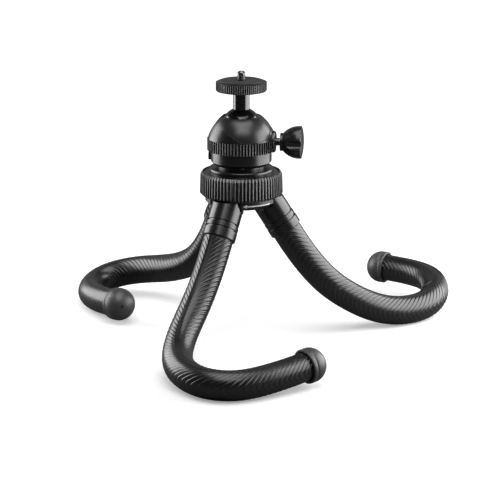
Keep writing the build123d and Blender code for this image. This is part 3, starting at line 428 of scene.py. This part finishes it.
def turned_steel(name, lightness, roughness):
    """Blackened steel with fine turning marks."""
    finish = Finish(name, lightness, roughness)
    finish.shader.inputs["Metallic"].default_value = 1.0
    finish.mottle(steel_blotch, steel_blotch_shares)
    finish.smears(steel_smear, steel_smear_shares)
    finish.soften(steel_rounding)
    finish.grain(steel_grain, steel_grain_height, steel_grain_stretch)
    return finish.material


def printed_mark(name, lightness, roughness):
    """White printed ink with a slightly uneven cover."""
    finish = Finish(name, lightness, roughness)
    finish.mottle(mark_blotch, mark_blotch_shares)
    finish.grain(mark_grain, mark_grain_height)
    return finish.material


# Each slot's finish with its lightness and roughness
materials = {
    "plate_metal": coated_metal("plate_metal", 0.01, 0.3, teeth=plate_teeth),
    "pad_rubber": soft_rubber("pad_rubber", 0.02, 0.62, pad_grain_height),
    "dark_steel": turned_steel("dark_steel", 0.20, 0.30),
    "pan_screw_steel": coated_metal("pan_screw_steel", 0.02, 0.4),
    "ball_metal": coated_metal("ball_metal", 0.004, 0.16, ball_edge_wear_and_highlight_lightness),
    "seat_plastic": moulded_plastic("seat_plastic", 0.55, 0.45),
    "knurled_metal": coated_metal("knurled_metal", 0.01, 0.28, teeth=band_teeth),
    "dome_metal": coated_metal("dome_metal", 0.012, 0.33),
    "base_metal": coated_metal("base_metal", 0.005, 0.28),
    "knob_plastic": moulded_plastic("knob_plastic", 0.016, 0.26),
    "collar_metal": coated_metal("collar_metal", 0.005, 0.28),
    "ring_metal": coated_metal("ring_metal", 0.008, 0.3, teeth=ring_teeth),
    "hub_metal": coated_metal("hub_metal", 0.005, 0.34),
    "arrow_paint": printed_mark("arrow_paint", 0.8, 0.5),
    "ferrule_metal": coated_metal("ferrule_metal", 0.005, 0.27),
    "link_plastic": moulded_plastic("link_plastic", 0.03, 0.4),
    "sleeve_rubber": soft_rubber("sleeve_rubber", 0.007, 0.3, sleeve_grain_height),
    "cap_rubber": soft_rubber("cap_rubber", 0.05, 0.42, cap_grain_height),
}

for entry in frame["record"]["subparts"]:
    cad_mesh = frame["nodes"][entry["node"]].data
    cad_mesh.materials.clear()
    cad_mesh.materials.append(materials[entry["material_slot"]])


def new_piece(name, mesh, slot):
    """An object for a mesh, with the finish of a material slot."""
    piece = bpy.data.objects.new(name, mesh)
    bpy.context.scene.collection.objects.link(piece)
    mesh.materials.append(materials[slot])
    return piece


# Centre lines of the legs

def unit(vectors):
    """Vectors of length one, row by row."""
    return vectors / np.linalg.norm(vectors, axis=-1, keepdims=True)


class Route:
    """A leg's centre line, with stations measured along it from the root, as in the CAD model."""

    steps_per_span = 80
    direction_half = 1.0 * mm

    def __init__(self, name, azimuth, shares):
        self.name = name
        turn, tilt = radians(azimuth), radians(leg_tilt)
        outward = np.array((cos(turn), sin(turn), 0))
        sideways = np.array((-sin(turn), cos(turn), 0))
        up = np.array((0, 0, 1))
        down = outward * sin(tilt) - up * cos(tilt)
        across = outward * cos(tilt) + up * sin(tilt)
        root = outward * hinge_reach - up * hinge_drop + across * axis_offset
        rest_level = floor_level + rest_height
        rise = root[2] - rest_level
        start = root + down * straight_run
        controls = [start, start + down * bend_lead]
        for reach, side, height in shares:
            flat = (outward * reach + sideways * side) * foot_reach
            controls.append(flat + up * (rest_level + height * rise))
        curve = self.smooth(controls)
        lengths = np.concatenate(([0], np.cumsum(np.linalg.norm(np.diff(curve, axis=0), axis=1))))
        stations = straight_run + lengths
        self.length = stations[-1]
        self.chain_end = self.length - chain_end_setback
        kept = stations < self.chain_end
        ends = self.chain_end - 2 * self.direction_half, self.chain_end
        before, last_ball = np.stack([np.interp(ends, stations, line) for line in curve.T], -1)
        end = last_ball + unit(last_ball - before) * 2 * chain_end_setback
        self.points = np.vstack((root - down * ferrule_length, curve[kept], last_ball, end))
        self.stations = np.concatenate((
            [-ferrule_length], stations[kept], [self.chain_end, self.chain_end + 2 * chain_end_setback]
        ))

    def smooth(self, controls):
        """Points of the cubic curve with these control points."""
        data = bpy.data.curves.new("route", "CURVE")
        data.dimensions = "3D"
        spline = data.splines.new("NURBS")
        spline.points.add(len(controls) - 1)
        for point, control in zip(spline.points, controls):
            point.co = (*control, 1)
        spline.order_u = 4
        spline.use_endpoint_u = True
        spline.resolution_u = self.steps_per_span
        holder = bpy.data.objects.new("route", data)
        mesh = bpy.data.meshes.new_from_object(holder)
        points = np.array([vertex.co for vertex in mesh.vertices])
        bpy.data.objects.remove(holder)
        bpy.data.curves.remove(data)
        bpy.data.meshes.remove(mesh)
        return points

    def point(self, station):
        """Points at stations along the centre line."""
        return np.stack([np.interp(station, self.stations, line) for line in self.points.T], -1)

    def axes(self, station):
        """Unit vectors along the leg, level to its side, and square to both."""
        along = unit(self.point(station + self.direction_half) - self.point(station - self.direction_half))
        side = unit(np.cross(along, (0, 0, 1)))
        return along, side, np.cross(along, side)

    def joint_station(self, joint):
        """Station of a flexing joint, counted from 1."""
        return chain_start + joint * (self.chain_end - chain_start) / (joint_count + 1)

    def sleeve_radius(self, station):
        """Radius of the sleeve over its ribs."""
        start = taper_start_share * self.length
        part = np.clip((station - start) / (self.length - start), 0, 1)
        return sleeve_radius + (sleeve_end_radius - sleeve_radius) * part


# Ribbed sleeves

def smooth_step(value):
    """Eased run from 0 to 1."""
    value = np.clip(value, 0, 1)
    return value * value * (3 - 2 * value)


def sleeve_columns():
    """Columns round a sleeve: strip middle, side of it, share of the way to the apex, inset."""
    columns = []
    for middle in strip_middles:
        columns += [(middle, 0, 0, inset) for inset in strip_insets]
        shares = [step / quarter_columns for step in range(1, quarter_columns + 1)]
        columns += [(middle, 1, share, 0) for share in shares]
        columns += [(middle + pi, -1, share, 0) for share in reversed(shares[:-1])]
    return np.array(columns).T


def chevron_shift(share):
    """How far a rib lags behind its middle, from the strip (0) to the apex (1)."""
    rise = np.hypot(1 - share, chevron_round) - chevron_round
    whole_rise = hypot(1, chevron_round) - chevron_round
    return chevron_rise * (rise / whole_rise - 1 / 2)


def rib_rows(first, last):
    """Nominal places of the rows of ribs, in pitches, and their depths and fine-groove weights."""
    places, depths, fine = [], [], []
    for rib in range(first, last):
        for phase, depth in zip(rib_phases, rib_depth_shares):
            places.append(rib + phase)
            depths.append(depth * rib_depth)
            fine.append(fine_groove_depth if phase == fine_groove_phase else 0)
    places.append(last)
    depths.append(rib_depth_shares[0] * rib_depth)
    fine.append(0)
    return np.array(places)[:, None], np.array(depths)[:, None], np.array(fine)[:, None]


def sleeve_grid(route, first, last):
    """Grid of points of the sleeve between two ribs, one row of columns after another."""
    middle, turn, share, inset = sleeve_columns()
    start = ferrule_length - sleeve_tuck
    end = route.length - cap_seat - cap_skirt + sleeve_tuck
    places, depths, fine = rib_rows(first, last)
    nominal = start + places * rib_pitch
    station = np.clip(nominal + chevron_shift(share), start, end)
    radius = route.sleeve_radius(station)
    along = np.clip((station - start) / (end - start), 0, 1)
    strip_half = (strip_half_start + (strip_half_end - strip_half_start) * along) / radius
    angle = middle + turn * (strip_half + share * (pi / 2 - strip_half)) + inset * strip_half
    upper = smooth_step((fine_groove_end - station) / fine_groove_fade)
    near_apex = smooth_step((share - fine_groove_share) / fine_groove_share)
    depth = depths + fine * upper * near_apex
    in_strip = turn == 0
    on_line = np.abs(inset) == 1
    depth = np.where(in_strip, np.where(on_line, -strip_line, strip_drop), depth)
    radius = radius - depth
    middle_point = route.point(station)
    _, side, lift = route.axes(station)
    points = middle_point + radius[..., None] * (
        np.cos(angle)[..., None] * side + np.sin(angle)[..., None] * lift
    )
    points[..., 2] = np.maximum(points[..., 2], floor_level)
    return points


def grid_mesh(name, points):
    """Mesh of a tube from its grid of points, smooth, with collapsed rows cleaned away."""
    rows, columns = points.shape[:2]
    corner = np.arange(rows * columns).reshape(rows, columns)
    beside = np.roll(corner, -1, axis=1)
    faces = np.stack((corner[:-1], beside[:-1], beside[1:], corner[1:]), -1).reshape(-1, 4)
    mesh = bpy.data.meshes.new(name)
    mesh.from_pydata(points.reshape(-1, 3).tolist(), [], faces.tolist())
    work = bmesh.new()
    work.from_mesh(mesh)
    bmesh.ops.remove_doubles(work, verts=work.verts, dist=tiny)
    bmesh.ops.dissolve_degenerate(work, edges=work.edges, dist=tiny)
    bmesh.ops.recalc_face_normals(work, faces=work.faces)
    for face in work.faces:
        face.smooth = True
    work.to_mesh(mesh)
    work.free()
    return mesh


def build_sleeve(route):
    """The rubber of one leg: four pieces that each lie over one joint and meet in a rib's groove."""
    start = ferrule_length - sleeve_tuck
    end = route.length - cap_seat - cap_skirt + sleeve_tuck
    reach = chevron_rise / 2
    breaks = [-int(reach // rib_pitch) - 1]
    for joint in range(1, joint_count):
        middle = (route.joint_station(joint) + route.joint_station(joint + 1)) / 2
        breaks.append(round((middle - start) / rib_pitch))
    breaks.append(int((end + reach - start) // rib_pitch) + 1)
    for joint in range(1, joint_count + 1):
        name = f"{route.name}_sleeve_rubber_{joint}"
        mesh = grid_mesh(name, sleeve_grid(route, breaks[joint - 1], breaks[joint]))
        piece = new_piece(name, mesh, "sleeve_rubber")
        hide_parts(f"{route.name}_sleeve_{joint}")
        if joint == joint_count:
            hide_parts(f"{route.name}_sleeve_{joint + 1}")
        station = route.joint_station(joint)
        route.point(station - blend_half)
        route.point(station + blend_half)
        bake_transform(piece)


# Turned soft pieces

def lathe(name, profile, matrix, segments):
    """Closed ring or solid of revolution about the local Z axis; profile holds (z, radius)."""
    work = bmesh.new()
    rings = []
    for height, radius in profile:
        if radius < tiny:
            rings.append([work.verts.new((0, 0, height))])
            continue
        ring = []
        for step in range(segments):
            turn = 2 * pi * step / segments
            ring.append(work.verts.new((radius * cos(turn), radius * sin(turn), height)))
        rings.append(ring)
    pairs = zip(rings, rings[1:] + rings[:1])
    for lower, upper in pairs:
        if len(lower) == 1 and len(upper) == 1:
            continue
        for step in range(segments):
            after = (step + 1) % segments
            if len(lower) == 1:
                work.faces.new((lower[0], upper[step], upper[after]))
            elif len(upper) == 1:
                work.faces.new((lower[step], lower[after], upper[0]))
            else:
                work.faces.new((lower[step], lower[after], upper[after], upper[step]))
    bmesh.ops.recalc_face_normals(work, faces=work.faces)
    for face in work.faces:
        face.smooth = True
    mesh = bpy.data.meshes.new(name)
    work.to_mesh(mesh)
    work.free()
    mesh.transform(matrix)
    return mesh


def arc(middle, radius, start, end, steps):
    """Points (z, radius) of an arc; angles are from the radius direction towards +Z."""
    points = []
    for step in range(steps + 1):
        turn = radians(start + (end - start) * step / steps)
        points.append((middle[0] + radius * sin(turn), middle[1] + radius * cos(turn)))
    return points


def cap_profile(route):
    """Outline of a foot cap: dome, bead line and rounded rim, and the recess for the sleeve."""
    inner = float(route.sleeve_radius(route.length)) + cap_clearance
    round_dome = arc((0, 0), cap_radius, 90, 0, dome_steps)
    dome = [(height * cap_dome_share, radius) for height, radius in round_dome]
    bead = [
        (-cap_bead_place + cap_bead_width, cap_radius),
        (-cap_bead_place, cap_radius - cap_bead_drop),
        (-cap_bead_place - cap_bead_width, cap_radius),
    ]
    rim_middle = (-cap_skirt + cap_rim_round, cap_radius - cap_rim_round)
    rim = arc(rim_middle, cap_rim_round, 0, -90, rim_steps)
    lead = [(-cap_skirt, inner + cap_lead), (-cap_skirt + cap_lead, inner)]
    recess = lead + [(-cap_seat, inner), (-cap_seat, 0)]
    return dome + bead + rim + recess


def cut(mesh, cutter):
    """Mesh with a cutter's volume taken away."""
    body = bpy.data.objects.new("body", mesh)
    tool = bpy.data.objects.new("tool", cutter)
    for piece in (body, tool):
        bpy.context.scene.collection.objects.link(piece)
    boolean = body.modifiers.new("cut", "BOOLEAN")
    boolean.operation = "DIFFERENCE"
    boolean.object = tool
    boolean.solver = "EXACT"
    ready = body.evaluated_get(bpy.context.evaluated_depsgraph_get())
    made = bpy.data.meshes.new_from_object(ready)
    for piece in (body, tool):
        bpy.data.objects.remove(piece)
    return made


def build_cap(route):
    """Foot cap with its vent hole."""
    name = f"{route.name}_cap_rubber"
    end = np.array(route.length)
    along, side, lift = route.axes(end)
    place = route.point(end)
    matrix = Matrix((side, lift, along)).transposed().to_4x4()
    matrix.translation = Vector(place)
    cap = lathe(name, cap_profile(route), matrix, turned_segments)
    low = cap_radius * cap_dome_share - vent_depth
    hole = Matrix.Translation((vent_offset, 0, 0))
    drill = [(low, 0), (low, vent_radius), (2 * cap_radius, vent_radius), (2 * cap_radius, 0)]
    cap = cut(cap, lathe("vent", drill, matrix @ hole, vent_segments))
    for polygon in cap.polygons:
        polygon.use_smooth = True
    cap.set_sharp_from_angle(angle=radians(cap_sharp_angle))
    piece = new_piece(name, cap, "cap_rubber")
    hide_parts(f"{route.name}_foot_cap")
    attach(piece, f"{route.name}_leg_5")


def build_pad():
    """Rubber pad on the camera plate, with fine raised rings and rounded edges."""
    top_middle = (-pad_edge_round, pad_radius - pad_edge_round)
    top = arc(top_middle, pad_edge_round, 0, 90, pad_edge_steps)
    rings = []
    radius = pad_radius - 2 * pad_edge_round
    while radius > pad_hole_radius + pad_ring_pitch:
        for place_share, depth_share in pad_ring_shares:
            rings.append((-depth_share * pad_ring_depth, radius - place_share * pad_ring_pitch))
        radius -= pad_ring_pitch
    inner_middle = (-pad_edge_round, pad_hole_radius + pad_edge_round)
    inner = arc(inner_middle, -pad_edge_round, -90, 0, pad_edge_steps)
    foot = [(-pad_thickness, pad_hole_radius), (-pad_thickness, pad_radius)]
    profile = foot[1:] + top + rings + inner + foot[:1]
    mesh = lathe("camera_pad", profile, Matrix.Identity(4), pad_segments)
    mesh.set_sharp_from_angle(angle=radians(pad_sharp_angle))
    piece = new_piece("camera_pad", mesh, "pad_rubber")
    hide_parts("plate_pad")
    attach(piece, "plate")


routes = [Route(*leg) for leg in zip(leg_names, leg_azimuths, route_shares)]
for route in routes:
    build_sleeve(route)
    build_cap(route)
build_pad()


# Studio

def build_world():
    """Surroundings that the camera sees white and that light the object dimly."""
    world = bpy.data.worlds.new("studio")
    bpy.context.scene.world = world
    world.use_nodes = True
    tree = world.node_tree
    background = tree.nodes["Background"]
    background.inputs["Color"].default_value = shade(1)
    path = tree.nodes.new("ShaderNodeLightPath")
    seen = tree.nodes.new("ShaderNodeMath")
    seen.operation = "MAXIMUM"
    tree.links.new(path.outputs["Is Camera Ray"], seen.inputs[0])
    tree.links.new(path.outputs["Is Transmission Ray"], seen.inputs[1])
    strength = tree.nodes.new("ShaderNodeMapRange")
    strength.inputs["To Min"].default_value = surroundings
    strength.inputs["To Max"].default_value = 1.0
    tree.links.new(seen.outputs["Value"], strength.inputs["Value"])
    tree.links.new(strength.outputs["Result"], background.inputs["Strength"])


def build_floor():
    """White floor that shows white to the camera and keeps the shadows."""
    mesh = bpy.data.meshes.new("floor")
    level = floor_level - floor_drop
    turns = ((-1, -1), (1, -1), (1, 1), (-1, 1))
    corners = [(x * floor_size, y * floor_size, level) for x, y in turns]
    mesh.from_pydata(corners, [], [(0, 1, 2, 3)])
    floor = bpy.data.objects.new("floor", mesh)
    bpy.context.scene.collection.objects.link(floor)
    finish = Finish("floor_paper", floor_bounce, floor_roughness)
    finish.mottle(floor_blotch, floor_blotch_shares)
    path = finish.node("ShaderNodeLightPath")
    reach = finish.node("ShaderNodeVectorMath", operation="LENGTH")
    finish.link(finish.place, reach.inputs[0])
    glow = finish.node("ShaderNodeEmission")
    glow.inputs["Color"].default_value = shade(1)
    finish.link(finish.remap(reach.outputs["Value"], glow_fade, glow_near, 1), glow.inputs["Strength"])
    paper = finish.node("ShaderNodeBsdfDiffuse")
    paper.inputs["Color"].default_value = shade(paper_lightness)
    seen = finish.node("ShaderNodeAddShader")
    finish.link(paper.outputs["BSDF"], seen.inputs[0])
    finish.link(glow.outputs["Emission"], seen.inputs[1])
    mix = finish.node("ShaderNodeMixShader")
    finish.link(path.outputs["Is Camera Ray"], mix.inputs["Fac"])
    finish.link(finish.shader.outputs["BSDF"], mix.inputs[1])
    finish.link(seen.outputs["Shader"], mix.inputs[2])
    finish.link(mix.outputs["Shader"], finish.tree.nodes["Material Output"].inputs["Surface"])
    mesh.materials.append(finish.material)


def softbox(name, place, target, size, brightness):
    """Area light that faces a target and isn't seen by the camera itself."""
    width, height = size
    data = bpy.data.lights.new(name, "AREA")
    data.shape = "RECTANGLE"
    data.size = width
    data.size_y = height
    data.energy = brightness * pi * width * height
    light = bpy.data.objects.new(name, data)
    light.location = place
    light.visible_camera = False
    direction = Vector(target) - Vector(place)
    light.rotation_euler = direction.to_track_quat("-Z", "Y").to_euler()
    bpy.context.scene.collection.objects.link(light)


def build_camera():
    """Camera at the photograph's angle."""
    data = bpy.data.cameras.new("camera")
    data.sensor_width = sensor_width
    data.lens = sensor_width * camera_focal_px / photo_width
    data.shift_x = 0.5 - camera_middle_px / photo_width
    data.clip_end = camera_far
    camera = bpy.data.objects.new("camera", data)
    camera.location = (0, -camera_distance, floor_level + camera_height)
    camera.rotation_euler = (radians(90 - camera_pitch), 0, 0)
    bpy.context.scene.collection.objects.link(camera)
    bpy.context.scene.camera = camera


build_world()
build_floor()
build_camera()
for name, settings in lights.items():
    softbox(name, *settings)
bpy.context.scene.view_settings.view_transform = "Standard"
